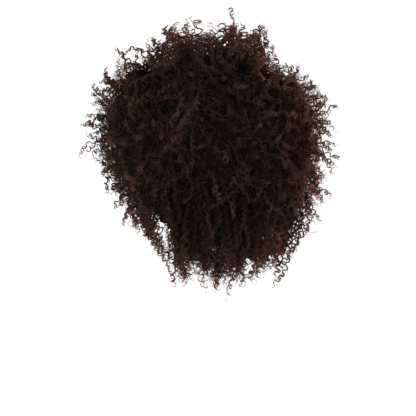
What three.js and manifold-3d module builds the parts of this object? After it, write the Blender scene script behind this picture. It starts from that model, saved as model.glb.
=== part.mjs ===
// A full curly wig: a stretch cap that fits over the head, and curly hair sewn to it in zones of weft rows.
// Millimetres, +Z up. The origin is the inside of the cap where it sits on the crown of the head.
// The wearer looks along -Y, so the back of the wig faces +Y, and +X is the wearer's left.

import * as THREE from "three";
import { mergeVertices } from "three/addons/utils/BufferGeometryUtils.js";
import Module from "manifold-3d";

const wasm = await Module();
wasm.setup();

// Driving dimensions

const HEAD = { width: 154, length: 192, crownToWidest: 100 }; // 548 mm round at the widest
const NECK = { width: 132, length: 148 }; // the way in for the head, kept clear below the cap
const CAP_WALL = 2;
const PIECE_GAP = 0.3;
const BELOW_ALL = -340; // lower than every lock
const ABOVE_ALL = 240; // higher than every lock
const OUTSIDE_ALL = 320; // further from the axis than every lock

// The edge of the cap as it is seen from the side, from the forehead to the nape.
const CAP_EDGE = [
  { place: "hairline", y: -120, z: -58 },
  { place: "temple", y: -70, z: -70 },
  { place: "ear tab", y: -44, z: -124 },
  { place: "ear top", y: -2, z: -100 },
  { place: "behind the ear", y: 36, z: -134 },
  { place: "nape corner", y: 66, z: -166 },
  { place: "nape", y: 120, z: -168 },
];

// How far the tips of the hair reach from the hair's middle, by elevation above the horizontal, on
// the wearer's left, right, back and front. Core is the share of that reach that is dense backing.
const HAIR_MIDDLE = new THREE.Vector3(0, 8, -75);
const REACH = [
  { elevation: -72, left: 170, right: 196, back: 204, front: 186, core: 0.5 },
  { elevation: -52, left: 148, right: 180, back: 188, front: 166, core: 0.6 },
  { elevation: -32, left: 154, right: 176, back: 174, front: 150, core: 0.67 },
  { elevation: -12, left: 172, right: 176, back: 180, front: 142, core: 0.7 },
  { elevation: 8, left: 186, right: 178, back: 184, front: 150, core: 0.72 },
  { elevation: 28, left: 200, right: 184, back: 180, front: 170, core: 0.72 },
  { elevation: 48, left: 196, right: 190, back: 172, front: 192, core: 0.7 },
  { elevation: 68, left: 188, right: 196, back: 174, front: 214, core: 0.66 },
  { elevation: 90, left: 196, right: 196, back: 196, front: 196, core: 0.64 },
];

// The clump of hair at the foot of each lock, where the backing swells into it.
const CLUMP = { height: 27, halfAngle: 13 };

// Locks of curly hair: corkscrews that taper from the backing to the tip.
const LOCK = {
  rootShare: 0.6, // how far a root's elevation follows its tip's
  rootRise: 34, // and how much higher it is sewn on, in degrees
  lowestRoot: -14,
  lift: 0.5, // how far a lock stands straight out before it falls, as a share of its length
  startShare: 0.58, // where it leaves the backing
  rootRadius: 12.5,
  tipRadius: 5,
  curlRadius: 10,
  curlPitch: 64,
  sides: 4,
  stepLength: 14,
  lengthSpread: 0.07, // how much shorter or longer than its neighbours a lock can be
  seed: 7, // for the spread of lengths, bearings and turns
};

// The opening for the face: an arch that starts at the brow.
const FACE = { halfWidth: 64, brow: -80, cornerRadius: 44, back: -30 };

// Zones of weft rows, as sectors seen from above: 0 degrees is the wearer's left, and 90 the back.
// Above and below are the partings that bound a zone. Rows are its weft rows, by the elevation of
// their tips, and spacing is the distance between neighbouring tips in a row.
const CROWN_PARTING = 43;
const NAPE_PARTING = -28;
const FRONT_ROWS = [78, 61, 44, 27, 10, -2, -20, -38, -55];
const SIDE_ROWS = [33, 15, -3, -21, -39, -56, -70];
const BACK_ROWS = [33, 16, -1, -18];
const NAPE_ROWS = [-38, -51, -62, -72];
const CROWN_ROWS = [86, 70, 53];
const ZONES = [
  { name: "front_hair", from: 222, to: 318, rows: FRONT_ROWS, spacing: 68 },
  { name: "crown_hair", from: -42, to: 222, above: CROWN_PARTING, rows: CROWN_ROWS, spacing: 68 },
  { name: "left_hair", from: -42, to: 46, below: CROWN_PARTING, rows: SIDE_ROWS, spacing: 68 },
  { name: "right_hair", from: 134, to: 222, below: CROWN_PARTING, rows: SIDE_ROWS, spacing: 68 },
  {
    name: "back_hair",
    from: 46,
    to: 134,
    above: NAPE_PARTING,
    below: CROWN_PARTING,
    rows: BACK_ROWS,
    spacing: 68,
  },
  { name: "nape_hair", from: 46, to: 134, below: NAPE_PARTING, rows: NAPE_ROWS, spacing: 47 },
];

const radians = THREE.MathUtils.degToRad;
const degrees = THREE.MathUtils.radToDeg;
const random = THREE.MathUtils.seededRandom;

// Solids

function toSolid(geometry) {
  const bare = geometry.clone();
  bare.deleteAttribute("normal");
  bare.deleteAttribute("uv");
  const merged = mergeVertices(bare);
  const mesh = new wasm.Mesh({
    numProp: 3,
    vertProperties: new Float32Array(merged.attributes.position.array),
    triVerts: new Uint32Array(merged.index.array),
  });
  return new wasm.Manifold(mesh);
}

function toMesh(name, solid, material) {
  const { vertProperties, triVerts } = solid.getMesh();
  const geometry = new THREE.BufferGeometry();
  geometry.setAttribute("position", new THREE.BufferAttribute(vertProperties, 3));
  geometry.setIndex(new THREE.BufferAttribute(triVerts, 1));
  geometry.computeVertexNormals();
  const mesh = new THREE.Mesh(geometry, material);
  mesh.name = name;
  return mesh;
}

// A closed surface through rings of points, with a middle point to close it at each end.
function ringSolid(first, rings, last) {
  const count = rings[0].length;
  const points = [first, ...rings.flat(), last];
  const faces = [];
  const corner = (ring, i) => 1 + ring * count + (i % count);
  for (let i = 0; i < count; i++) {
    faces.push(0, corner(0, i + 1), corner(0, i));
    for (let ring = 0; ring < rings.length - 1; ring++) {
      const [a, b] = [corner(ring, i), corner(ring, i + 1)];
      const [c, d] = [corner(ring + 1, i + 1), corner(ring + 1, i)];
      faces.push(a, b, c, a, c, d);
    }
    faces.push(points.length - 1, corner(rings.length - 1, i), corner(rings.length - 1, i + 1));
  }
  const geometry = new THREE.BufferGeometry().setFromPoints(points);
  geometry.setIndex(faces);
  return toSolid(geometry);
}

const join = (solids) => solids.reduce((whole, solid) => whole.add(solid));

function largestBody(solid) {
  const bodies = solid.decompose();
  return bodies.reduce((best, body) => (body.volume() > best.volume() ? body : best));
}

// The head and the cap

// The head's dome, grown by a clearance on every side.
function headDome(clearance) {
  const dome = new THREE.SphereGeometry(1, 24, 12).rotateX(Math.PI / 2);
  dome.scale(
    HEAD.width / 2 + clearance,
    HEAD.length / 2 + clearance,
    HEAD.crownToWidest + clearance,
  );
  return toSolid(dome.translate(0, 0, -HEAD.crownToWidest));
}

function neckWay() {
  const height = -HEAD.crownToWidest - BELOW_ALL;
  const column = new THREE.CylinderGeometry(0.5, 0.5, height, 24).rotateX(Math.PI / 2);
  column.scale(NECK.width, NECK.length, 1);
  return toSolid(column.translate(0, 0, BELOW_ALL + height / 2));
}

// All that lies below the cap's edge, as a profile drawn in Y and Z and extruded across X.
function belowCapEdge() {
  const profile = new THREE.Shape();
  const edge = CAP_EDGE.map(({ y, z }) => new THREE.Vector2(y, z));
  profile.moveTo(edge[0].x, BELOW_ALL);
  profile.lineTo(edge[0].x, edge[0].y);
  profile.splineThru(edge.slice(1));
  profile.lineTo(edge.at(-1).x, BELOW_ALL);
  const width = 2 * HEAD.width;
  const slab = new THREE.ExtrudeGeometry(profile, {
    depth: width,
    bevelEnabled: false,
    curveSegments: 5,
  });
  slab.translate(0, 0, -width / 2);
  // Turn the drawing's x, y and depth into Y, Z and X.
  slab.applyMatrix4(new THREE.Matrix4().set(0, 0, 1, 0, 1, 0, 0, 0, 0, 1, 0, 0, 0, 0, 0, 1));
  return toSolid(slab);
}

const capSolid = () => headDome(CAP_WALL).subtract(headDome(0)).subtract(belowCapEdge());

// The hair

// A direction from its bearing round +Z and its elevation, both in degrees.
function direction(bearing, elevation) {
  const level = Math.cos(radians(elevation));
  return new THREE.Vector3(
    level * Math.cos(radians(bearing)),
    level * Math.sin(radians(bearing)),
    Math.sin(radians(elevation)),
  );
}

// The row of REACH at an elevation, between its two nearest rows.
function reachRow(elevation) {
  const last = REACH.length - 1;
  const angle = THREE.MathUtils.clamp(elevation, REACH[0].elevation, REACH[last].elevation);
  const above = REACH.findIndex((row, i) => i > 0 && row.elevation >= angle);
  const [low, high] = [REACH[above - 1], REACH[above]];
  const share = (angle - low.elevation) / (high.elevation - low.elevation);
  const between = (column) => THREE.MathUtils.lerp(low[column], high[column], share);
  return {
    left: between("left"),
    right: between("right"),
    back: between("back"),
    front: between("front"),
    core: between("core"),
  };
}

// How far the hair reaches that way, and how far its dense backing does.
function hairReach(bearing, elevation) {
  const row = reachRow(elevation);
  const { x, y } = direction(bearing, 0);
  const side = x > 0 ? row.left : row.right;
  const depth = y > 0 ? row.back : row.front;
  const tip = x * x * side + y * y * depth;
  return { tip, core: tip * row.core };
}

// The way a lock lies: straight out of the cap from its root, then over and down to its tip.
function lockBend(bearing, elevation, stretch = 1) {
  const reach = hairReach(bearing, elevation).tip * stretch;
  const tip = direction(bearing, elevation).multiplyScalar(reach).add(HAIR_MIDDLE);
  const rootElevation = Math.max(LOCK.lowestRoot, LOCK.rootShare * elevation + LOCK.rootRise);
  const way = direction(bearing, rootElevation);
  const dome = new THREE.Vector3(HEAD.width / 2, HEAD.length / 2, HEAD.crownToWidest);
  const root = way.clone().multiply(dome);
  root.z -= HEAD.crownToWidest;
  const outward = way.clone().divide(dome).normalize();
  const over = root.clone().addScaledVector(outward, LOCK.lift * root.distanceTo(tip));
  return new THREE.QuadraticBezierCurve3(root, over, tip);
}

// A corkscrew round the way a lock lies.
class LockCurve extends THREE.Curve {
  constructor(bend, phase) {
    super();
    this.bend = bend;
    this.phase = phase;
    this.turns = (2 * Math.PI * bend.getLength()) / LOCK.curlPitch;
    const along = bend.getTangent(0.7);
    this.across = new THREE.Vector3(0, 0, 1).cross(along).normalize();
    this.over = along.clone().cross(this.across);
  }

  getPoint(share, target = new THREE.Vector3()) {
    const t = THREE.MathUtils.lerp(LOCK.startShare, 1, share);
    const angle = this.phase + this.turns * t;
    const radius = LOCK.curlRadius * THREE.MathUtils.smoothstep(share, 0, 0.4);
    this.bend.getPoint(t, target);
    target.addScaledVector(this.across, radius * Math.cos(angle));
    return target.addScaledVector(this.over, radius * Math.sin(angle));
  }
}

// A closed tube along a lock, whose radius goes from the root's to the tip's.
function lockSolid({ bend, phase }) {
  const curve = new LockCurve(bend, phase);
  const { sides, stepLength, rootRadius, tipRadius } = LOCK;
  const steps = Math.round((bend.getLength() * (1 - LOCK.startShare)) / stepLength);
  const frames = curve.computeFrenetFrames(steps);
  const rings = frames.tangents.map((_, step) => {
    const share = step / steps;
    const centre = curve.getPointAt(share);
    const radius = THREE.MathUtils.lerp(rootRadius, tipRadius, share * share);
    return Array.from({ length: sides }, (_, side) => {
      const angle = (2 * Math.PI * side) / sides;
      const corner = centre.clone();
      corner.addScaledVector(frames.normals[step], radius * Math.cos(angle));
      return corner.addScaledVector(frames.binormals[step], radius * Math.sin(angle));
    });
  });
  return ringSolid(curve.getPointAt(0), rings, curve.getPointAt(1));
}

const overFace = (tip) =>
  tip.y < 0 && Math.abs(tip.x) < FACE.halfWidth + LOCK.curlRadius && tip.z < FACE.brow;

// The locks of one zone, evenly along each of its weft rows.
function zoneLocks({ from, to, rows, spacing }) {
  const locks = [];
  for (const elevation of rows) {
    const middle = hairReach((from + to) / 2, elevation).tip;
    const length = radians(to - from) * middle * Math.cos(radians(elevation));
    const count = Math.max(1, Math.round(length / spacing));
    for (let i = 0; i < count; i++) {
      const bearing = from + ((i + 0.25 + 0.5 * random()) * (to - from)) / count;
      const stretch = 1 + LOCK.lengthSpread * (2 * random() - 1);
      const bend = lockBend(bearing, elevation, stretch);
      locks.push({ bend, phase: 2 * Math.PI * random() });
    }
  }
  return locks.filter(({ bend }) => !overFace(bend.v2));
}

// The dense backing: a ball in the shape of the hair, with a clump swelling at the foot of every lock.
function backingSolid(locks) {
  const feet = locks.map(({ bend }) => bend.getPoint(LOCK.startShare).sub(HAIR_MIDDLE).normalize());
  const ball = new THREE.IcosahedronGeometry(1, 8);
  const points = ball.attributes.position;
  const point = new THREE.Vector3();
  for (let i = 0; i < points.count; i++) {
    point.fromBufferAttribute(points, i);
    const elevation = degrees(Math.asin(THREE.MathUtils.clamp(point.z, -1, 1)));
    const bearing = degrees(Math.atan2(point.y, point.x));
    const nearest = Math.min(...feet.map((foot) => foot.angleTo(point)));
    const away = Math.min(1, nearest / radians(CLUMP.halfAngle));
    const swell = CLUMP.height * (1 - away * away);
    point.multiplyScalar(hairReach(bearing, elevation).core + swell).add(HAIR_MIDDLE);
    points.setXYZ(i, point.x, point.y, point.z);
  }
  return toSolid(ball);
}

function faceWay() {
  const { halfWidth, brow, cornerRadius, back } = FACE;
  const arch = new THREE.Shape();
  arch.moveTo(-halfWidth, BELOW_ALL);
  arch.lineTo(halfWidth, BELOW_ALL);
  arch.absarc(halfWidth - cornerRadius, brow - cornerRadius, cornerRadius, 0, Math.PI / 2);
  arch.absarc(cornerRadius - halfWidth, brow - cornerRadius, cornerRadius, Math.PI / 2, Math.PI);
  const way = new THREE.ExtrudeGeometry(arch, {
    depth: OUTSIDE_ALL,
    bevelEnabled: false,
    curveSegments: 5,
  });
  return toSolid(way.rotateX(Math.PI / 2).translate(0, back, 0));
}

// All that lies above a parting, whose surface follows the way the locks there lie.
function abovePartings(elevation, drop) {
  const bearings = Array.from({ length: 15 }, (_, i) => i * 24);
  const bends = bearings.map((bearing) => lockBend(bearing, elevation));
  const rings = [0, 0.5, 1].map((t) => bends.map((bend) => bend.getPoint(t)));
  const beyond = bends.map((bend) => bend.getPoint(1).addScaledVector(bend.getTangent(1), 60));
  rings.push(beyond);
  const outside = (z) => bearings.map((b) => direction(b, 0).multiplyScalar(OUTSIDE_ALL).setZ(z));
  rings.push(outside(beyond[0].z), outside(ABOVE_ALL));
  const first = new THREE.Vector3(0, 0, rings[0][0].z);
  const last = new THREE.Vector3(0, 0, ABOVE_ALL);
  return ringSolid(first, rings, last).translate(0, 0, -drop);
}

// The space of one zone: a sector, half a gap inside its own bounds, cut at its partings.
function zoneSpace({ from, to, above, below }) {
  const half = radians((to - from) / 2);
  const shift = direction((from + to) / 2, 0).multiplyScalar(PIECE_GAP / 2 / Math.sin(half));
  const sector = new THREE.Shape();
  sector.moveTo(shift.x, shift.y);
  const corners = 6;
  for (let i = 0; i <= corners; i++) {
    const bearing = THREE.MathUtils.lerp(from, to, i / corners);
    const corner = direction(bearing, 0).multiplyScalar(OUTSIDE_ALL).add(shift);
    sector.lineTo(corner.x, corner.y);
  }
  const depth = ABOVE_ALL - BELOW_ALL;
  const prism = new THREE.ExtrudeGeometry(sector, { depth, bevelEnabled: false });
  let space = toSolid(prism.translate(0, 0, BELOW_ALL));
  if (above !== undefined) {
    space = space.intersect(abovePartings(above, 0));
  }
  if (below !== undefined) {
    space = space.subtract(abovePartings(below, 2 * PIECE_GAP));
  }
  return space;
}

// The assembly

const capMaterial = new THREE.MeshStandardMaterial({
  color: 0x2a1d17,
  roughness: 0.9,
  metalness: 0,
});
const hairMaterial = new THREE.MeshStandardMaterial({
  color: 0x23160f,
  roughness: 0.55,
  metalness: 0,
});

const wig = new THREE.Group();
wig.add(toMesh("wig_cap", capSolid(), capMaterial));

random(LOCK.seed);
const locks = ZONES.map(zoneLocks);
const backing = backingSolid(locks.flat()).subtract(faceWay());
const headWay = headDome(CAP_WALL + PIECE_GAP).add(neckWay());
for (const [i, zone] of ZONES.entries()) {
  const mass = join([backing, ...locks[i].map(lockSolid)]);
  const piece = largestBody(mass.intersect(zoneSpace(zone)).subtract(headWay));
  wig.add(toMesh(zone.name, piece, hairMaterial));
}

export default wig;
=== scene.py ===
# The looks of a full curly wig: corkscrew curls over a dense dark undermass, on a stretch cap.
# Metres, +Z up. The origin is the inside of the cap at the crown of the head. The wearer looks
# along -Y, so the back of the wig faces +Y, and +X is the wearer's left. Bearings go in degrees
# from the wearer's left by the back, and elevations in degrees up from the level.

import bpy
import numpy as np
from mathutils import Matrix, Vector


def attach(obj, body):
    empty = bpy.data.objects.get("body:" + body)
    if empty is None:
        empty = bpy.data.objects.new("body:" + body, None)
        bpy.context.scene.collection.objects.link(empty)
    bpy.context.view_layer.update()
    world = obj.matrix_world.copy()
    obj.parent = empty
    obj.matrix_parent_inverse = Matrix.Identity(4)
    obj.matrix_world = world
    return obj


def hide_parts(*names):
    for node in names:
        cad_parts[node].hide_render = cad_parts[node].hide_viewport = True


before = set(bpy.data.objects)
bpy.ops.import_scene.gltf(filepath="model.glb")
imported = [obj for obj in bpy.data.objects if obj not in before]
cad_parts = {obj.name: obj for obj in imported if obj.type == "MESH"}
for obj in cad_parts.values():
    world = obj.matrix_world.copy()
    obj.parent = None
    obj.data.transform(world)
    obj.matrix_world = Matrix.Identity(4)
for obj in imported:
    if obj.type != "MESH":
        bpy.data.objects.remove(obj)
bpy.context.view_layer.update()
rng = np.random.default_rng(14)  # for the undermass, the locks and their hairs
waves = np.random.default_rng(8)  # for lumps, the tints of tufts, and hues

TURN = 2 * np.pi
TINY = 1e-9  # the least that is divided by

# The head that wears it

HEAD = np.array((0.077, 0.096, 0.100))  # half width, half length, crown to the widest level
HEAD_MIDDLE = np.array((0.0, 0.0, -0.100))
WAY_IN = np.array((0.066, 0.074))  # half the width and length of the way in, below the cap
HEAD_CLEAR = 0.004  # what the hair keeps clear of the head
HEAD_CORE = 0.05  # the least share of the way out of the head that a point is taken to be at

# The hair's form, as the distance from its middle to the tips: elevation, and the distance there on
# the wearer's left, right, back and front.
HAIR_MIDDLE = np.array((0.0, 0.008, -0.075))
REACH = np.array((
    (-72, 0.178, 0.218, 0.211, 0.182),
    (-52, 0.140, 0.199, 0.188, 0.160),
    (-32, 0.156, 0.178, 0.174, 0.150),
    (-12, 0.167, 0.180, 0.180, 0.142),
    (8, 0.191, 0.184, 0.184, 0.150),
    (28, 0.206, 0.202, 0.180, 0.170),
    (46, 0.197, 0.188, 0.172, 0.186),
    (58, 0.187, 0.185, 0.170, 0.200),
    (72, 0.203, 0.215, 0.180, 0.210),
    (90, 0.205, 0.205, 0.205, 0.205),
))

# The zones of hair: bearings and elevations from and to, and the share of the reach that is dense,
# as pairs of elevation and share.
ZONES = {
    "front_hair": dict(
        bearings=(222, 318),
        elevations=(-66, 90),
        dense=((-60, 0.50), (-30, 0.66), (0, 0.72), (40, 0.72), (65, 0.66), (90, 0.72)),
    ),
    "crown_hair": dict(
        bearings=(-42, 222),
        elevations=(43, 90),
        dense=((43, 0.84), (58, 0.78), (75, 0.69), (90, 0.72)),
    ),
    "left_hair": dict(
        bearings=(-42, 46),
        elevations=(-53, 43),
        dense=((-54, 0.40), (-46, 0.66), (-32, 0.73), (-12, 0.74), (28, 0.78), (43, 0.80)),
    ),
    "right_hair": dict(
        bearings=(134, 222),
        elevations=(-62, 43),
        dense=((-62, 0.55), (-54, 0.73), (-32, 0.77), (-12, 0.77), (28, 0.81), (43, 0.85)),
    ),
    "back_hair": dict(
        bearings=(46, 134),
        elevations=(-28, 43),
        dense=((-28, 0.75), (20, 0.75), (43, 0.80)),
    ),
    "nape_hair": dict(
        bearings=(46, 134),
        elevations=(-76, -28),
        dense=((-74, 0.62), (-66, 0.82), (-58, 0.82), (-28, 0.75)),
    ),
}

FACE = dict(half_width=0.066, brow=-0.080, corner=0.044)  # an arch that the hair leaves open

# Gaps between the lowest locks, seen from the back: across, height, half width and half height.
GAPS = np.array((
    (0.066, -0.184, 0.0075, 0.024),
    (0.094, -0.222, 0.0100, 0.018),
    (-0.055, -0.226, 0.0045, 0.016),
    (-0.079, -0.254, 0.0042, 0.018),
    (-0.097, -0.246, 0.0040, 0.014),
))

# A lock comes out of the cap higher than its tip, stands out, and falls over. From and to, for one
# that stands out most and one that falls most: how its root's elevation follows its tip's, how much
# higher it is, in degrees, and how far it stands out, as a share of its length.
ROOT_SHARE = (0.6, 0.5)
ROOT_RISE = (16, 44)
LIFT = (0.5, 0.78)
LOWEST_ROOT = (-14, -36)  # at the sides, and at the back
LOWEST_POWER = 4  # how quickly the second goes over into the first
HIGHEST_ROOT = 88

# The map of colour
COLOUR_MAP = "OFBake"
TINTS = 64  # columns of tint
HUES = 4  # and this many columns in turn go from golden to ash
COLUMN_WIDTH = (0.1, 0.9)  # the part of a column that a hair takes, from and to
COLUMN_HEIGHT = (0.02, 0.98)  # and likewise from its root to its tip
COLUMN_EDGE = 0.01  # keeps the last tint and hue in the map

# Lumps and layers: how the hair's surface swells, and how one tier of tips overhangs the next.
LUMP_HEIGHT = 0.12  # as a share of the reach, like the depth of a layer
LUMP_RATES = (7, 9, 13, 17, 21, 25)  # about how many radians of each wave are in a radian round
LAYER_DEPTH = 0.06
LAYER_STEP = 21  # degrees from one tier to the next
LAYER_WOBBLE = ((5, 3, 0), (4, 7, 1))  # degrees that tiers wander, waves all round, and their start
LONGEST = 1.1  # the most that a tip reaches, as a share of the reach

# Tufts that the tips gather in
TUFTS = 340  # this many if they were all round a ball
TUFT_STEP = 0.61803399  # the share of a turn from one to the next that spreads them evenly
GATHER = 0.5  # how far towards its tuft a tip is drawn
TUFT_TINT = 0.08  # how much tufts differ, as a share of the tints


def unit(v):
    return v / np.maximum(np.linalg.norm(v, axis=-1, keepdims=True), TINY)


def smoothstep(x, low, high):
    t = np.clip((x - low) / (high - low), 0, 1)
    return t * t * (3 - 2 * t)


def direction(bearing, elevation):
    b, e = np.radians(bearing), np.radians(elevation)
    return np.stack([np.cos(e) * np.cos(b), np.cos(e) * np.sin(b), np.sin(e)], -1)


def bearing_elevation(v):
    v = unit(v)
    return np.degrees(np.arctan2(v[..., 1], v[..., 0])), np.degrees(np.arcsin(v[..., 2]))


def towards_back(bearing):
    """From 0 at the sides, and all over the front, to 1 at the back."""
    return np.clip(np.sin(np.radians(bearing)), 0, 1)


def from_table(table, bearing, elevation):
    """A value between the rows of a table and round its left, right, back and front columns."""
    left, right, back, front = (np.interp(elevation, table[:, 0], table[:, i]) for i in range(1, 5))
    x, y = np.cos(np.radians(bearing)), np.sin(np.radians(bearing))
    return x * x * np.where(x > 0, left, right) + y * y * np.where(y > 0, back, front)


def dense_share(zone, elevation):
    pairs = np.array(ZONES[zone]["dense"])
    return np.interp(elevation, pairs[:, 0], pairs[:, 1])


tuft = np.arange(TUFTS) + 0.5
TUFT_WAYS = direction(tuft * 360 * TUFT_STEP, np.degrees(np.arcsin(1 - 2 * tuft / TUFTS)))
TUFT_TINTS = waves.normal(0, TUFT_TINT, TUFTS)
LUMP_WAVES = [(waves.normal(0, rate, 3), waves.uniform(0, TURN)) for rate in LUMP_RATES]
TUFT_HUES = waves.uniform(0, HUES, TUFTS)


def tuft_of(bearing, elevation):
    return np.argmax(direction(bearing, elevation) @ TUFT_WAYS.T, 1)


def lumps(way):
    """Low waves over a ball, from about -0.7 to 0.7."""
    return sum(np.sin(way @ rate + start) for rate, start in LUMP_WAVES) / len(LUMP_WAVES)


def swell(bearing, elevation):
    """How far the hair's surface stands proud there, as a share of its reach."""
    wobble = sum(
        high * np.sin(np.radians(often * bearing) + start) for high, often, start in LAYER_WOBBLE
    )
    tier = ((elevation + wobble) / LAYER_STEP) % 1
    return LUMP_HEIGHT * lumps(direction(bearing, elevation)) + LAYER_DEPTH * (0.5 - tier)


def bends(bearing, elevation, stretch, fall, stray):
    """The way locks lie, as three points each: out of the cap, over, and to the tip."""
    gathered = TUFT_WAYS[tuft_of(bearing, elevation)]
    drawn = (1 - GATHER) * direction(bearing, elevation) + GATHER * gathered
    bearing, elevation = bearing_elevation(drawn)
    stretch = np.minimum(stretch + swell(bearing, elevation), LONGEST)
    reach = from_table(REACH, bearing, elevation) * stretch
    tip = HAIR_MIDDLE + direction(bearing, elevation) * reach[:, None]
    share, rise, lift = (low + (high - low) * fall for low, high in (ROOT_SHARE, ROOT_RISE, LIFT))
    side, back = LOWEST_ROOT
    lowest = side + (back - side) * towards_back(bearing) ** LOWEST_POWER
    height = np.clip(share * elevation + rise + stray[1], lowest, HIGHEST_ROOT)
    way = direction(bearing + stray[0], height)
    root = HEAD_MIDDLE + way * HEAD
    over = root + unit(way / HEAD) * (lift * np.linalg.norm(tip - root, axis=-1))[:, None]
    return root, over, tip


def on_bend(bend, t):
    """Points on bends, and which way they go there. t has a row of shares for each."""
    a, b, c = (p[:, None] for p in bend)
    t = t[..., None]
    return (1 - t) ** 2 * a + 2 * t * (1 - t) * b + t * t * c, unit((1 - t) * (b - a) + t * (c - b))


SUNK = 0.015  # how deep in the undermass a lock starts, as a share of the reach
FIRST_SHARE = 0.55  # and how far along its way it starts at the least
OUT_SHARES = np.linspace(0, 0.9, 46)  # where on its way it is tested for coming out


def emergence(zone, bend):
    """Where on its way each lock comes out of the undermass."""
    points = on_bend(bend, np.tile(OUT_SHARES, (len(bend[0]), 1)))[0] - HAIR_MIDDLE
    bearing, elevation = bearing_elevation(points)
    dense = dense_share(zone, elevation) + swell(bearing, elevation) - SUNK
    inside = np.linalg.norm(points, axis=-1) < from_table(REACH, bearing, elevation) * dense
    return np.max(np.where(inside, OUT_SHARES, 0), axis=1)


def over_face(points):
    """Whether points are in front of the face, in an arch with round shoulders."""
    corner = FACE["corner"]
    x = np.maximum(np.abs(points[..., 0]) - FACE["half_width"] + corner, 0)
    z = np.maximum(points[..., 2] - FACE["brow"] + corner, 0)
    return (points[..., 1] < 0) & (x * x + z * z < corner * corner)


def in_gap(points):
    """Whether points are in the line of a gap between locks, seen from the back."""
    x, z, wide, high = GAPS.T
    off_middle = ((points[..., :1] - x) / wide) ** 2 + ((points[..., 2:] - z) / high) ** 2
    return np.any(off_middle < 1, axis=-1)


def clear_of_head(points):
    """Moves points that are in the head, or in the way in for it, out to its surface."""
    p = points - HEAD_MIDDLE
    share = np.linalg.norm(p / (HEAD + HEAD_CLEAR), axis=-1, keepdims=True)
    p = p / np.clip(share, HEAD_CORE, 1)
    column = np.linalg.norm(p[..., :2] / (WAY_IN + HEAD_CLEAR), axis=-1, keepdims=True)
    p[..., :2] /= np.where(p[..., 2:] < 0, np.clip(column, HEAD_CORE, 1), 1)
    return p + HEAD_MIDDLE


def out_of_head(way):
    """How far it is from the hair's middle, in the head, to where a way comes out of it."""
    dome, column = HEAD + HEAD_CLEAR, WAY_IN + HEAD_CLEAR

    def leave(start, step):
        a, b, c = np.sum(step * step, -1), np.sum(step * start, -1), np.sum(start * start, -1) - 1
        return (np.sqrt(b * b - a * c) - b) / np.maximum(a, TINY)

    by_dome = leave((HAIR_MIDDLE - HEAD_MIDDLE) / dome, way / dome)
    by_column = leave(HAIR_MIDDLE[:2] / column, way[..., :2] / column)
    below = HAIR_MIDDLE[2] + by_column * way[..., 2] < HEAD_MIDDLE[2]
    return np.where(below, np.maximum(by_dome, by_column), by_dome)


# Meshes from arrays


class Arrays:
    """Gathers corners, faces and the map of colour of many small meshes for one piece."""

    def __init__(self):
        self.corners = []
        self.quads = []
        self.uv = []
        self.count = 0

    def add(self, corners, quads, uv=None):
        self.corners.append(corners)
        self.quads.append(quads + self.count)
        self.count += len(corners)
        if uv is not None:
            self.uv.append(uv)

    def build(self, name, material):
        quads = np.concatenate(self.quads).astype(np.int32)
        mesh = bpy.data.meshes.new(name)
        mesh.vertices.add(self.count)
        mesh.vertices.foreach_set("co", np.concatenate(self.corners).astype(np.float32).ravel())
        mesh.loops.add(quads.size)
        mesh.loops.foreach_set("vertex_index", quads.ravel())
        mesh.polygons.add(len(quads))
        mesh.polygons.foreach_set("loop_start", np.arange(0, quads.size, 4, dtype=np.int32))
        mesh.polygons.foreach_set("use_smooth", np.ones(len(quads), bool))
        if self.uv:
            uv = np.concatenate(self.uv).astype(np.float32)
            mesh.uv_layers.new(name=COLOUR_MAP).data.foreach_set("uv", uv.ravel())
        mesh.update(calc_edges=True)
        mesh.validate()
        mesh.materials.append(material)
        obj = bpy.data.objects.new(name, mesh)
        bpy.context.scene.collection.objects.link(obj)
        return obj


def add_strands(arrays, points, around, tilt, radius, tint):
    """Flat hairs along points (strand, step, xyz), each turned its own tilt round its own line.

    Each has a column of tint in the map of colour, from its root at the bottom to its tip.
    """
    count, steps = points.shape[:2]
    along = unit(np.gradient(points, axis=1))
    normal = unit(around - along * np.sum(around * along, -1, keepdims=True))
    binormal = np.cross(along, normal)
    turn = tilt[:, None, None]
    wide = radius[..., None] * (np.cos(turn) * normal + np.sin(turn) * binormal)
    corners = np.stack([points + wide, points - wide], 2)
    index = np.arange(count * steps * 2).reshape(count, steps, 2)
    quads = np.stack([index[:, :-1, 0], index[:, :-1, 1], index[:, 1:, 1], index[:, 1:, 0]], -1)
    left, right = ((tint[:, None] + edge) / TINTS for edge in COLUMN_WIDTH)
    height = np.linspace(*COLUMN_HEIGHT, steps)[None]
    low, high = height[:, :-1], height[:, 1:]
    places = ((left, low), (right, low), (right, high), (left, high))
    uv = np.stack([np.stack(np.broadcast_arrays(u, v), -1) for u, v in places], -2)
    arrays.add(corners.reshape(-1, 3), quads.reshape(-1, 4), uv.reshape(-1, 4, 2))


# Corkscrew locks

TEST_SHARES = np.linspace(0.6, 1, 11)  # where on its way a lock is tested for the face and the gaps
BEND_LENGTH = 0.9  # a bend's length, as a share of the two straight lines round it
STRAIGHT = 1e-5  # the least area of a bend that gives it a plane
SPARE_AXIS = (0.9, 0.3, 0.1)  # for the plane of a bend that has none
ROUND = 0.22  # how much a coil's arches are rounded, as a share of its radius
TOP_LEVEL = (0, 3, 0)  # the level way that arches on top are rounded across, and its weight
TOP_LEVEL_RANGE = (45, 60)  # the elevations over which it takes the place of each lock's own
SWAYS = 3  # waves of sway in a lock
SWAY = 0.0035  # how far a lock's middle strays in each
SWAY_BEAT = (0.6, 3.0)  # how often, from and to
ROOT_SPREAD = 0.4  # how far hairs are apart at the root, as a share of the tip
DRIFT = 0.2  # radians that a coil runs ahead and behind
DRIFT_BEAT = 2.3  # how often it does
TIP_TURN = 1.5 * np.pi  # how much further a tip curls up
TIP_FROM = 0.82  # where on a hair that starts
ROOT_COIL = 0.5  # the coil at the root, as a share of its radius
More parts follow.
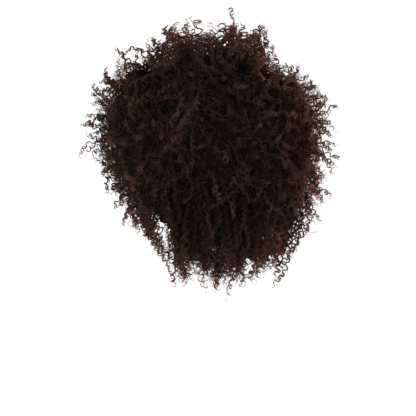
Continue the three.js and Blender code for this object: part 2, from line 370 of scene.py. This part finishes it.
COIL_GROWTH = ((0.45, 0, 0.3), (0.15, 0.4, 1))  # how much it grows, and from and to where on a hair
BREATHE = 0.15  # how much it swells and shrinks, as a share
BREATHE_BEAT = 1.9  # how often it does
TAPER = 0.65  # how much thinner a hair's tip is, as a share
TAPER_FROM = 0.9  # where on a hair that starts
STEP_BIN = 4  # strands are made together where their steps are the same in fours
STEP_BINS = (2, 40)  # the fewest fours and the most


def each(values):
    """One value for each strand, set out to meet a row of steps."""
    return values[..., None]


def add_locks(arrays, zone, locks, strands, steps_a_turn):
    """Corkscrew strands round the way their locks lie.

    locks has one value for each lock: bearing, elevation, stretch, fall, stray (two rows), coil
    (radius), pitch, phase, hand, lean and slant (how far the coil leans along the lock, as a share
    of its radius, and where round the coil). strands has one for each strand: of (its lock), shift
    (from the lock's middle), radius, tilt, tint, turn (from the lock's phase), loose (share of the
    lock's coil) and end (where on the lock's way it ends).
    """
    bend = bends(*(locks[name] for name in ("bearing", "elevation", "stretch", "fall", "stray")))
    root, over, tip = bend
    n = len(root)
    start = np.maximum(emergence(zone, bend), FIRST_SHARE)
    tested = on_bend(bend, np.tile(TEST_SHARES, (n, 1)))[0]
    kept = ~np.any(over_face(tested) | in_gap(tested), axis=1)[strands["of"]]
    strands = {name: value[kept] for name, value in strands.items()}
    length = np.linalg.norm(over - root, axis=-1) + np.linalg.norm(tip - over, axis=-1)
    turns = locks["hand"] * length * BEND_LENGTH / locks["pitch"]
    normal = np.cross(over - root, tip - over)
    straight = np.linalg.norm(normal, axis=-1, keepdims=True) < STRAIGHT
    across = unit(np.where(straight, np.cross(tip - root, SPARE_AXIS), normal))
    level = direction(locks["bearing"] + 90, np.zeros(n))
    level *= np.where(level[:, 1] < 0, -1, 1)[:, None]
    level += smoothstep(locks["elevation"], *TOP_LEVEL_RANGE)[:, None] * (TOP_LEVEL - level)
    sway = SWAY * rng.normal(size=(SWAYS, n, 3))
    beat = rng.uniform(*SWAY_BEAT, size=(SWAYS, n))
    lag = rng.uniform(0, TURN, size=(SWAYS + 1, n))

    of = strands["of"]
    span = strands["end"] - start[of]
    wanted = np.abs(turns[of]) * span * steps_a_turn
    steps = (np.clip(np.round(wanted / STEP_BIN), *STEP_BINS) * STEP_BIN).astype(int)
    for count in np.unique(steps):
        pick = np.flatnonzero(steps == count)
        lock = of[pick]
        s = np.linspace(0, 1, count + 1)[None, :]
        t = each(start[lock]) + each(span[pick]) * s
        middle, along = on_bend([p[lock] for p in bend], t)
        for k in range(SWAYS):
            wave = np.sin(TURN * each(beat[k][lock]) * t + each(lag[k][lock])) * t
            middle = middle + wave[..., None] * sway[k][lock][:, None]
        apart = ROOT_SPREAD + (1 - ROOT_SPREAD) * t[..., None]
        middle = middle + strands["shift"][pick][:, None] * apart
        side = np.broadcast_to(across[lock][:, None], along.shape)
        up = np.cross(along, side)
        drift = DRIFT * np.sin(TURN * DRIFT_BEAT * t + each(lag[SWAYS][lock]))
        drift = drift + each(TIP_TURN * locks["hand"][lock]) * smoothstep(s, TIP_FROM, 1)
        phase = each(locks["phase"][lock] + strands["turn"][pick])
        angle = phase + TURN * each(turns[lock]) * t + drift
        around = np.cos(angle)[..., None] * side + np.sin(angle)[..., None] * up
        growth = (gain * smoothstep(s, low, high) for gain, low, high in COIL_GROWTH)
        breathe = 1 + BREATHE * np.sin(TURN * BREATHE_BEAT * t + each(lag[0][lock]))
        coil = each(locks["coil"][lock] * strands["loose"][pick]) * sum(growth, ROOT_COIL) * breathe
        arch = np.cross(along, level[lock][:, None])
        arch_angle = np.arctan2(np.sum(arch * up, -1), np.sum(arch * side, -1))
        leaning = each(locks["lean"][lock]) * np.sin(angle + each(locks["slant"][lock]))
        leaning = leaning + ROUND * each(locks["hand"][lock]) * np.sin(2 * (angle - arch_angle))
        points = clear_of_head(middle + coil[..., None] * (around + leaning[..., None] * along))
        radius = each(strands["radius"][pick]) * (1 - TAPER * smoothstep(s, TAPER_FROM, 1))
        add_strands(arrays, points, around, strands["tilt"][pick], radius, strands["tint"][pick])


# The undermass

UNDER_STEP = 3.0  # degrees from one corner to the next
UNDER_ROUGH = 0.012  # its roughness, as a share of the reach
UNDER_THINNEST = 0.006
CELL_SIDES = ((0, -1), (1, 0), (0, 1), (-1, 0))  # the cells beside one, in the order of its corners


def add_undermass(arrays, zone):
    """The dense hair under a zone's curls: a lumpy closed shell from the cap out."""
    ranges = (ZONES[zone]["bearings"], ZONES[zone]["elevations"])
    nb, ne = (int(np.ceil((high - low) / UNDER_STEP)) + 1 for low, high in ranges)
    lines = (np.linspace(*ends, count) for ends, count in zip(ranges, (nb, ne)))
    bearing, elevation = np.meshgrid(*lines, indexing="ij")
    way = direction(bearing, elevation)
    rough = UNDER_ROUGH * rng.normal(size=(nb, ne))
    share = dense_share(zone, elevation) + swell(bearing, elevation) + rough
    outer = HAIR_MIDDLE + way * (from_table(REACH, bearing, elevation) * share)[..., None]
    inner = HAIR_MIDDLE + way * out_of_head(way)[..., None]
    room = np.sum((outer - inner) * way, -1)
    good = (room > UNDER_THINNEST) & ~over_face(outer)
    cells = good[:-1, :-1] & good[1:, :-1] & good[1:, 1:] & good[:-1, 1:]
    index = np.arange(nb * ne).reshape(nb, ne)
    quads = np.stack([index[:-1, :-1], index[1:, :-1], index[1:, 1:], index[:-1, 1:]], -1)
    faces = [quads[cells], quads[cells][:, ::-1] + nb * ne]
    padded = np.pad(cells, 1)
    for k, (db, de) in enumerate(CELL_SIDES):
        open_side = cells & ~padded[1 + db:nb + db, 1 + de:ne + de]
        first, second = quads[open_side][:, k], quads[open_side][:, (k + 1) % 4]
        faces.append(np.stack([second, first, first + nb * ne, second + nb * ne], -1))
    used, faces = np.unique(np.concatenate(faces), return_inverse=True)
    corners = np.concatenate([outer.reshape(-1, 3), inner.reshape(-1, 3)])[used]
    arrays.add(corners, faces.reshape(-1, 4))


# The curls of a zone

GOLDEN = np.array((0.7548776662, 0.5698402910))  # steps that spread points evenly over a square
EVEN_JITTER = 0.03

# Kinds of lock: how many there are for each square metre of the hair's outside, hairs in a lock, half
# a hair's width, how far hairs spread, how far the tip reaches, how much the lock falls, how far its
# root strays to a side and up or down, in degrees, the coil's radius and pitch and the tints, from and
# to, and steps in a turn. The fill's reach is past the undermass, and the others' in all.
KINDS = {
    "fill": dict(
        locks=5600, hairs=3, hair=0.00042, spread=0.0009, reach=(0.03, 0.188), fall=(0.0, 0.6),
        stray=(32, 26), coil=(0.0014, 0.0026), pitch=(0.0078, 0.0108), tints=(0.18, 0.52),
        turn_steps=8,
    ),
    "bold": dict(
        locks=2400, hairs=4, hair=0.00075, spread=0.00038, reach=(0.87, 1.05), fall=(0.0, 0.5),
        stray=(11, 9), coil=(0.0021, 0.0031), pitch=(0.0102, 0.0126), tints=(0.1, 0.4),
        turn_steps=11,
    ),
    "frizz": dict(
        locks=900, hairs=1, hair=0.00030, spread=0.0006, reach=(0.84, 1.03), fall=(0.0, 1.0),
        stray=(24, 18), coil=(0.0018, 0.0036), pitch=(0.0085, 0.0130), tints=(0.3, 0.8),
        turn_steps=9,
    ),
}
SHORTER = 1.1  # the power that makes more of the fill short than long
FILL_LOWEST = -50  # the lowest elevation of the fill's tips
FILL_FROM = 0.68  # the least share of the reach that the fill starts from

# Locks of one place, likewise: corkscrews that hang below the rest, finer curls among them at the
# nape, and the loose loops of the tuft on top.
HANGING = dict(
    hairs=3, hair=0.00100, spread=0.0003, reach=(0.90, 1.03), fall=(0.3, 0.8), stray=(14, 9),
    coil=(0.0026, 0.0035), pitch=(0.0118, 0.0145), tints=(0.2, 0.6), turn_steps=12,
)
NAPE = dict(
    hairs=3, hair=0.00058, spread=0.0012, reach=(0.84, 1.02), fall=(0.2, 0.9), stray=(16, 12),
    coil=(0.0020, 0.0034), pitch=(0.0090, 0.0118), tints=(0.1, 0.6), turn_steps=8,
)
TUFT = dict(
    hairs=3, hair=0.00105, spread=0.0004, reach=(0.86, 1.00), fall=(0.0, 0.3), stray=(20, 16),
    coil=(0.0032, 0.0050), pitch=(0.0120, 0.0160), tints=(0.3, 0.8), turn_steps=12,
)

# How many of them there are in each zone, and their elevations from and to
PLACED = (
    (HANGING, {"right_hair": 48, "nape_hair": 40}, (-76, -56)),
    (HANGING, {"left_hair": 18}, (-64, -46)),
    (NAPE, {"nape_hair": 300}, (-76, -54)),
    (TUFT, {"crown_hair": 84, "front_hair": 50}, (60, 90)),
)

# What differs at the back: nothing at the first elevation of each pair, and all at the second
BACK_UPPER = (62, 45)
BACK_LOWER = (-58, -45)
BACK_POWER = 2  # how quickly it goes over into the sides
BACK_SPREAD = 0.0006  # how much further hairs spread in a lock
BACK_FINER = 0.3  # how much finer they are, as a share
BACK_WILD = 0.8  # how much further roots stray, likewise
BACK_TIGHT = 0.15  # how much tighter coils are, likewise
BACK_EVEN = 0.5  # how much less the locks' tints differ, likewise
BACK_STRAY = 0.18  # and how much more those of the hairs in a lock do

# What differs on top, and the elevations over which it comes in
TOP_OPEN = 0.5  # how much shorter the fill is, as a share
TOP_OPEN_RANGE = (50, 70)
TOP_LOOSE = 0.3  # how much looser the curls are, likewise
TOP_LOOSE_RANGE = (55, 75)

# How hairs differ
# painted shade: hair is painted lighter where its surface stands proud, and darker in the troughs
# between lumps and under the tier of tips above
PAINTED_RELIEF_SHADE = 1.3  # share of the tints that hair is lighter by for a whole reach that it stands proud
TINT_STRAY = 0.06  # share of the tints that a hair is off its lock's
HUE_STRAY = 0.8  # columns of hue that it is off its tuft's
LEAN = (0.0, 0.2)  # how far coils lean, as a share of their radius
TURN_STRAY = 290  # radians that a hair is ahead or behind, for each metre that its lock spreads
LOOSE_STRAY = 120  # share of the coil that it is looser or tighter, likewise
HAIR_WIDTHS = (0.8, 1.2)  # as a share of the kind's
HAIR_ENDS = (0.93, 1.0)  # where on the lock's way hairs end


def zone_area(zone, low, high):
    """The area of a zone's outside between two elevations."""
    from_b, to_b = ZONES[zone]["bearings"]
    reach = from_table(REACH, (from_b + to_b) / 2, (low + high) / 2)
    return reach**2 * np.radians(to_b - from_b) * (np.sin(np.radians(high)) - np.sin(np.radians(low)))


def add_kind(arrays, zone, kind, count, elevations):
    """Locks of one kind, spread evenly over a zone between two elevations."""
    n = int(count)
    even = np.arange(n)[:, None] * GOLDEN + rng.random(2)
    even = (even + EVEN_JITTER * rng.normal(size=(n, 2))) % 1
    from_b, to_b = ZONES[zone]["bearings"]
    low, high = np.sin(np.radians(elevations))
    bearing = from_b + (to_b - from_b) * even[:, 0]
    elevation = np.degrees(np.arcsin(low + (high - low) * even[:, 1]))

    def pick(name):
        return rng.uniform(*kind[name], n)

    locks = dict(
        bearing=bearing,
        elevation=elevation,
        stretch=pick("reach"),
        fall=pick("fall"),
        stray=rng.normal(size=(2, n)) * np.array(kind["stray"])[:, None],
        coil=pick("coil"),
        pitch=pick("pitch"),
        phase=rng.uniform(0, TURN, n),
        hand=rng.choice((-1, 1), n),
        lean=rng.uniform(*LEAN, n),
        slant=rng.uniform(0, TURN, n),
    )
    if kind is KINDS["fill"]:
        low, high = kind["reach"]
        past = low + (high - low) * rng.random(n) ** SHORTER
        past *= 1 - TOP_OPEN * smoothstep(elevation, *TOP_OPEN_RANGE)
        locks["stretch"] = np.maximum(dense_share(zone, elevation), FILL_FROM) + past
    behind = towards_back(bearing) ** BACK_POWER
    behind *= smoothstep(elevation, *BACK_UPPER) * smoothstep(elevation, *BACK_LOWER)
    loose = 1 + TOP_LOOSE * smoothstep(elevation, *TOP_LOOSE_RANGE)
    locks["coil"] *= loose * (1 - BACK_TIGHT * behind)
    locks["pitch"] *= loose
    locks["stray"] *= 1 + BACK_WILD * behind

    tint = pick("tints")
    tint += BACK_EVEN * behind * (np.mean(kind["tints"]) - tint)
    in_tuft = tuft_of(bearing, elevation)
    # painted shade: the tint follows the swell, lighter on lumps and darker in troughs and under
    # overhanging tiers
    shade = tint + PAINTED_RELIEF_SHADE * swell(bearing, elevation) + TUFT_TINTS[in_tuft]
    of = np.repeat(np.arange(n), kind["hairs"])
    m = len(of)
    stray = TINT_STRAY + BACK_STRAY * behind[of]
    shade = np.clip(shade[of] + rng.normal(size=m) * stray, 0, 1 - COLUMN_EDGE)
    hue = TUFT_HUES[in_tuft][of] + HUE_STRAY * waves.normal(size=m)
    hue = np.clip(hue, 0, HUES - COLUMN_EDGE)
    spread = kind["spread"] + BACK_SPREAD * behind[of]
    strands = dict(
        of=of,
        shift=rng.normal(size=(m, 3)) * spread[:, None],
        radius=kind["hair"] * rng.uniform(*HAIR_WIDTHS, m) * (1 - BACK_FINER * behind[of]),
        tilt=rng.uniform(0, np.pi, n)[of] + np.pi / kind["hairs"] * (np.arange(m) % kind["hairs"]),
        tint=(shade * TINTS / HUES).astype(int) * HUES + hue.astype(int),
        turn=rng.normal(size=m) * TURN_STRAY * spread,
        loose=1 + rng.normal(size=m) * LOOSE_STRAY * spread,
        end=rng.uniform(*HAIR_ENDS, m),
    )
    add_locks(arrays, zone, locks, strands, kind["turn_steps"])


# Materials


def new_material(name):
    material = bpy.data.materials.new(name)
    material.use_nodes = True
    return material, material.node_tree, material.node_tree.nodes["Principled BSDF"]


def set_inputs(node, values):
    for name, value in values.items():
        node.inputs[name].default_value = value


def ramp(tree, source, stops):
    """A colour that follows a value, from pairs of value and colour."""
    node = tree.nodes.new("ShaderNodeValToRGB")
    elements = node.color_ramp.elements
    while len(elements) < len(stops):
        elements.new(0.5)  # its place is set below
    for element, (place, colour) in zip(elements, stops):
        element.position = place
        element.color = (*colour, 1)
    tree.links.new(source, node.inputs["Fac"])
    return node.outputs["Color"]


def product(tree, first, second):
    """Two colours multiplied."""
    node = tree.nodes.new("ShaderNodeMix")
    node.data_type = "RGBA"
    node.blend_type = "MULTIPLY"
    node.inputs["Factor"].default_value = 1
    colours = (socket for socket in node.inputs if socket.type == "RGBA")
    for source, colour in zip((first, second), colours):
        tree.links.new(source, colour)
    return next(socket for socket in node.outputs if socket.type == "RGBA")


def add_bump(tree, shader, height, values):
    bump = tree.nodes.new("ShaderNodeBump")
    set_inputs(bump, values)
    tree.links.new(height, bump.inputs["Height"])
    tree.links.new(bump.outputs["Normal"], shader.inputs["Normal"])


def hair_material():
    """Dark brown fibre: a tint and a hue for each strand, with painted shade at its root and a painted
    warm glow at its tip.
    """
    material, tree, shader = new_material("curly_hair")
    nodes, links = tree.nodes, tree.links
    uv = nodes.new("ShaderNodeUVMap")
    uv.uv_map = COLOUR_MAP
    place = nodes.new("ShaderNodeSeparateXYZ")
    links.new(uv.outputs["UV"], place.inputs[0])
    column, height = place.outputs["X"], place.outputs["Y"]
    hue_place = nodes.new("ShaderNodeMath")
    hue_place.operation = "MULTIPLY"
    hue_place.inputs[1].default_value = TINTS / HUES
    links.new(column, hue_place.inputs[0])
    hue_turn = nodes.new("ShaderNodeMath")
    hue_turn.operation = "FRACT"
    links.new(hue_place.outputs[0], hue_turn.inputs[0])

    tint = ramp(tree, column, (
        (0.0, (0.040, 0.0362, 0.0292)),
        (0.6, (0.119, 0.1070, 0.0862)),
        (1.0, (0.200, 0.1700, 0.1350)),
    ))
    hue = ramp(tree, hue_turn.outputs[0], (
        (0.0, (1.06, 1.04, 0.76)),
        (0.5, (1.0, 1.0, 0.96)),
        (1.0, (0.94, 0.98, 1.10)),
    ))
    # painted shade and glow: strands are painted darker at the root, where the mass shades them, and
    # lighter and warmer at the tip, where light reaches and shines through them
    tip = ramp(tree, height, (
        (0.0, (0.38, 0.38, 0.38)),
        (0.6, (0.62, 0.62, 0.62)),
        (1.0, (1.0, 0.92, 0.86)),
    ))
    through = ramp(tree, column, (
        (0.0, (0.44, 0.180, 0.112)),
        (1.0, (0.56, 0.230, 0.142)),
    ))
    thin = ramp(tree, height, (
        (0.0, (0.3, 0.3, 0.3)),
        (0.6, (0.55, 0.55, 0.55)),
        (1.0, (1.3, 1.3, 1.3)),
    ))
    links.new(product(tree, product(tree, tint, hue), tip), shader.inputs["Base Color"])
    set_inputs(shader, {
        "Roughness": 0.38,
        "Specular IOR Level": 0.05,
        "Specular Tint": (1.0, 0.75, 0.6, 1),
    })
    glow = nodes.new("ShaderNodeBsdfTranslucent")
    links.new(product(tree, through, thin), glow.inputs["Color"])
    both = nodes.new("ShaderNodeMixShader")
    both.inputs["Fac"].default_value = 0.5
    links.new(shader.outputs[0], both.inputs[1])
    links.new(glow.outputs[0], both.inputs[2])
    links.new(both.outputs[0], nodes["Material Output"].inputs["Surface"])
    return material


def undermass_material():
    """Hair under the curls: dark brown frizz, its own colour painted darker still as painted shade."""
    material, tree, shader = new_material("undermass_frizz_painted_shade")
    place = tree.nodes.new("ShaderNodeTexCoord")
    frizz = tree.nodes.new("ShaderNodeTexNoise")
    set_inputs(frizz, {"Scale": 300, "Detail": 4, "Distortion": 2.5})
    tree.links.new(place.outputs["Object"], frizz.inputs["Vector"])
    # painted shade: the frizz is coloured far darker than the curls, to stand for the shade deep in
    # the mass
    tone = ramp(tree, frizz.outputs["Fac"], (
        (0.35, (0.010, 0.0062, 0.0048)),
        (0.7, (0.060, 0.0380, 0.0280)),
    ))
    tree.links.new(tone, shader.inputs["Base Color"])
    add_bump(tree, shader, frizz.outputs["Fac"], {"Distance": 0.003})
    set_inputs(shader, {"Roughness": 0.9, "Specular IOR Level": 0})
    return material


def cap_material():
    """Fine stretch knit: rows of small loops in two dark browns."""
    material, tree, shader = new_material("cap_knit")
    nodes, links = tree.nodes, tree.links
    place = nodes.new("ShaderNodeTexCoord")
    rows = nodes.new("ShaderNodeTexWave")
    rows.bands_direction = "Z"
    set_inputs(rows, {"Scale": 180, "Distortion": 1.5})
    links.new(place.outputs["Object"], rows.inputs["Vector"])
    loops = nodes.new("ShaderNodeTexVoronoi")
    set_inputs(loops, {"Scale": 420})
    links.new(place.outputs["Object"], loops.inputs["Vector"])
    knit = nodes.new("ShaderNodeMath")
    knit.operation = "MULTIPLY"
    links.new(rows.outputs["Fac"], knit.inputs[0])
    links.new(loops.outputs["Distance"], knit.inputs[1])
    tone = ramp(tree, knit.outputs[0], (
        (0.0, (0.020, 0.0125, 0.0095)),
        (0.6, (0.062, 0.042, 0.032)),
    ))
    links.new(tone, shader.inputs["Base Color"])
    add_bump(tree, shader, knit.outputs[0], {"Strength": 0.5, "Distance": 0.0008})
    set_inputs(shader, {"Roughness": 0.85, "Specular IOR Level": 0.2})
    return material


# The pieces

hair = hair_material()
under = Arrays()
for zone in ZONES:
    arrays = Arrays()
    add_undermass(under, zone)
    for kind in KINDS.values():
        low, high = ZONES[zone]["elevations"]
        low = max(low, FILL_LOWEST) if kind is KINDS["fill"] else low
        add_kind(arrays, zone, kind, kind["locks"] * zone_area(zone, low, high), (low, high))
    for kind, counts, elevations in PLACED:
        add_kind(arrays, zone, kind, counts.get(zone, 0), elevations)
    piece = arrays.build(zone.replace("_hair", "_curls"), hair)
    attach(piece, "root")
    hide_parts(zone)
piece = under.build("hair_undermass", undermass_material())
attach(piece, "root")

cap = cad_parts["wig_cap"]
cap.data.materials.clear()
cap.data.materials.append(cap_material())

# Floor, light and camera

FLOOR_LEVEL = -2.4
FLOOR_RADIUS = 6
CAMERA_PLACE = (0.003, 1.6, -0.1515)
VIEW_WIDTH = 0.624  # what the picture shows from side to side, at the origin's distance
SENSOR_WIDTH = 36  # millimetres

bpy.ops.mesh.primitive_circle_add(
    vertices=64, radius=FLOOR_RADIUS, fill_type="NGON", location=(0, 0, FLOOR_LEVEL)
)
floor = bpy.context.object
floor.name = "floor"
floor_material, _, floor_shader = new_material("floor_pale")
set_inputs(floor_shader, {"Base Color": (0.9, 0.9, 0.9, 1), "Roughness": 0.9})
floor.data.materials.append(floor_material)

world = bpy.data.worlds.new("studio")
world.use_nodes = True
sky = world.node_tree
height = sky.nodes.new("ShaderNodeSeparateXYZ")
sky.links.new(sky.nodes.new("ShaderNodeTexCoord").outputs["Generated"], height.inputs[0])
ceiling = ramp(sky, height.outputs["Z"], ((0.2, (1, 1, 1)), (0.4, (0.08, 0.08, 0.08))))
sky.links.new(ceiling, sky.nodes["Background"].inputs["Color"])
bpy.context.scene.world = world


def soft_light(name, place, size, power):
    data = bpy.data.lights.new(name, "AREA")
    data.size = size
    data.energy = power
    light = bpy.data.objects.new(name, data)
    light.location = place
    light.rotation_mode = "QUATERNION"
    light.rotation_quaternion = (Vector(HAIR_MIDDLE) - Vector(place)).to_track_quat("-Z", "Y")
    bpy.context.scene.collection.objects.link(light)


soft_light("key", place=(1.9, 1.6, 0.3), size=1.0, power=11)
soft_light("side", place=(-2.0, 1.2, 0.2), size=1.0, power=2.4)
soft_light("fill", place=(-1.2, -2.0, 0.9), size=1.2, power=25)

bpy.context.scene.view_settings.view_transform = "Standard"

camera_data = bpy.data.cameras.new("camera")
camera_data.sensor_width = SENSOR_WIDTH
camera_data.lens = SENSOR_WIDTH * CAMERA_PLACE[1] / VIEW_WIDTH
camera = bpy.data.objects.new("camera", camera_data)
camera.location = CAMERA_PLACE
camera.rotation_euler = (np.pi / 2, 0, np.pi)  # level, along -Y
bpy.context.scene.collection.objects.link(camera)
bpy.context.scene.camera = camera
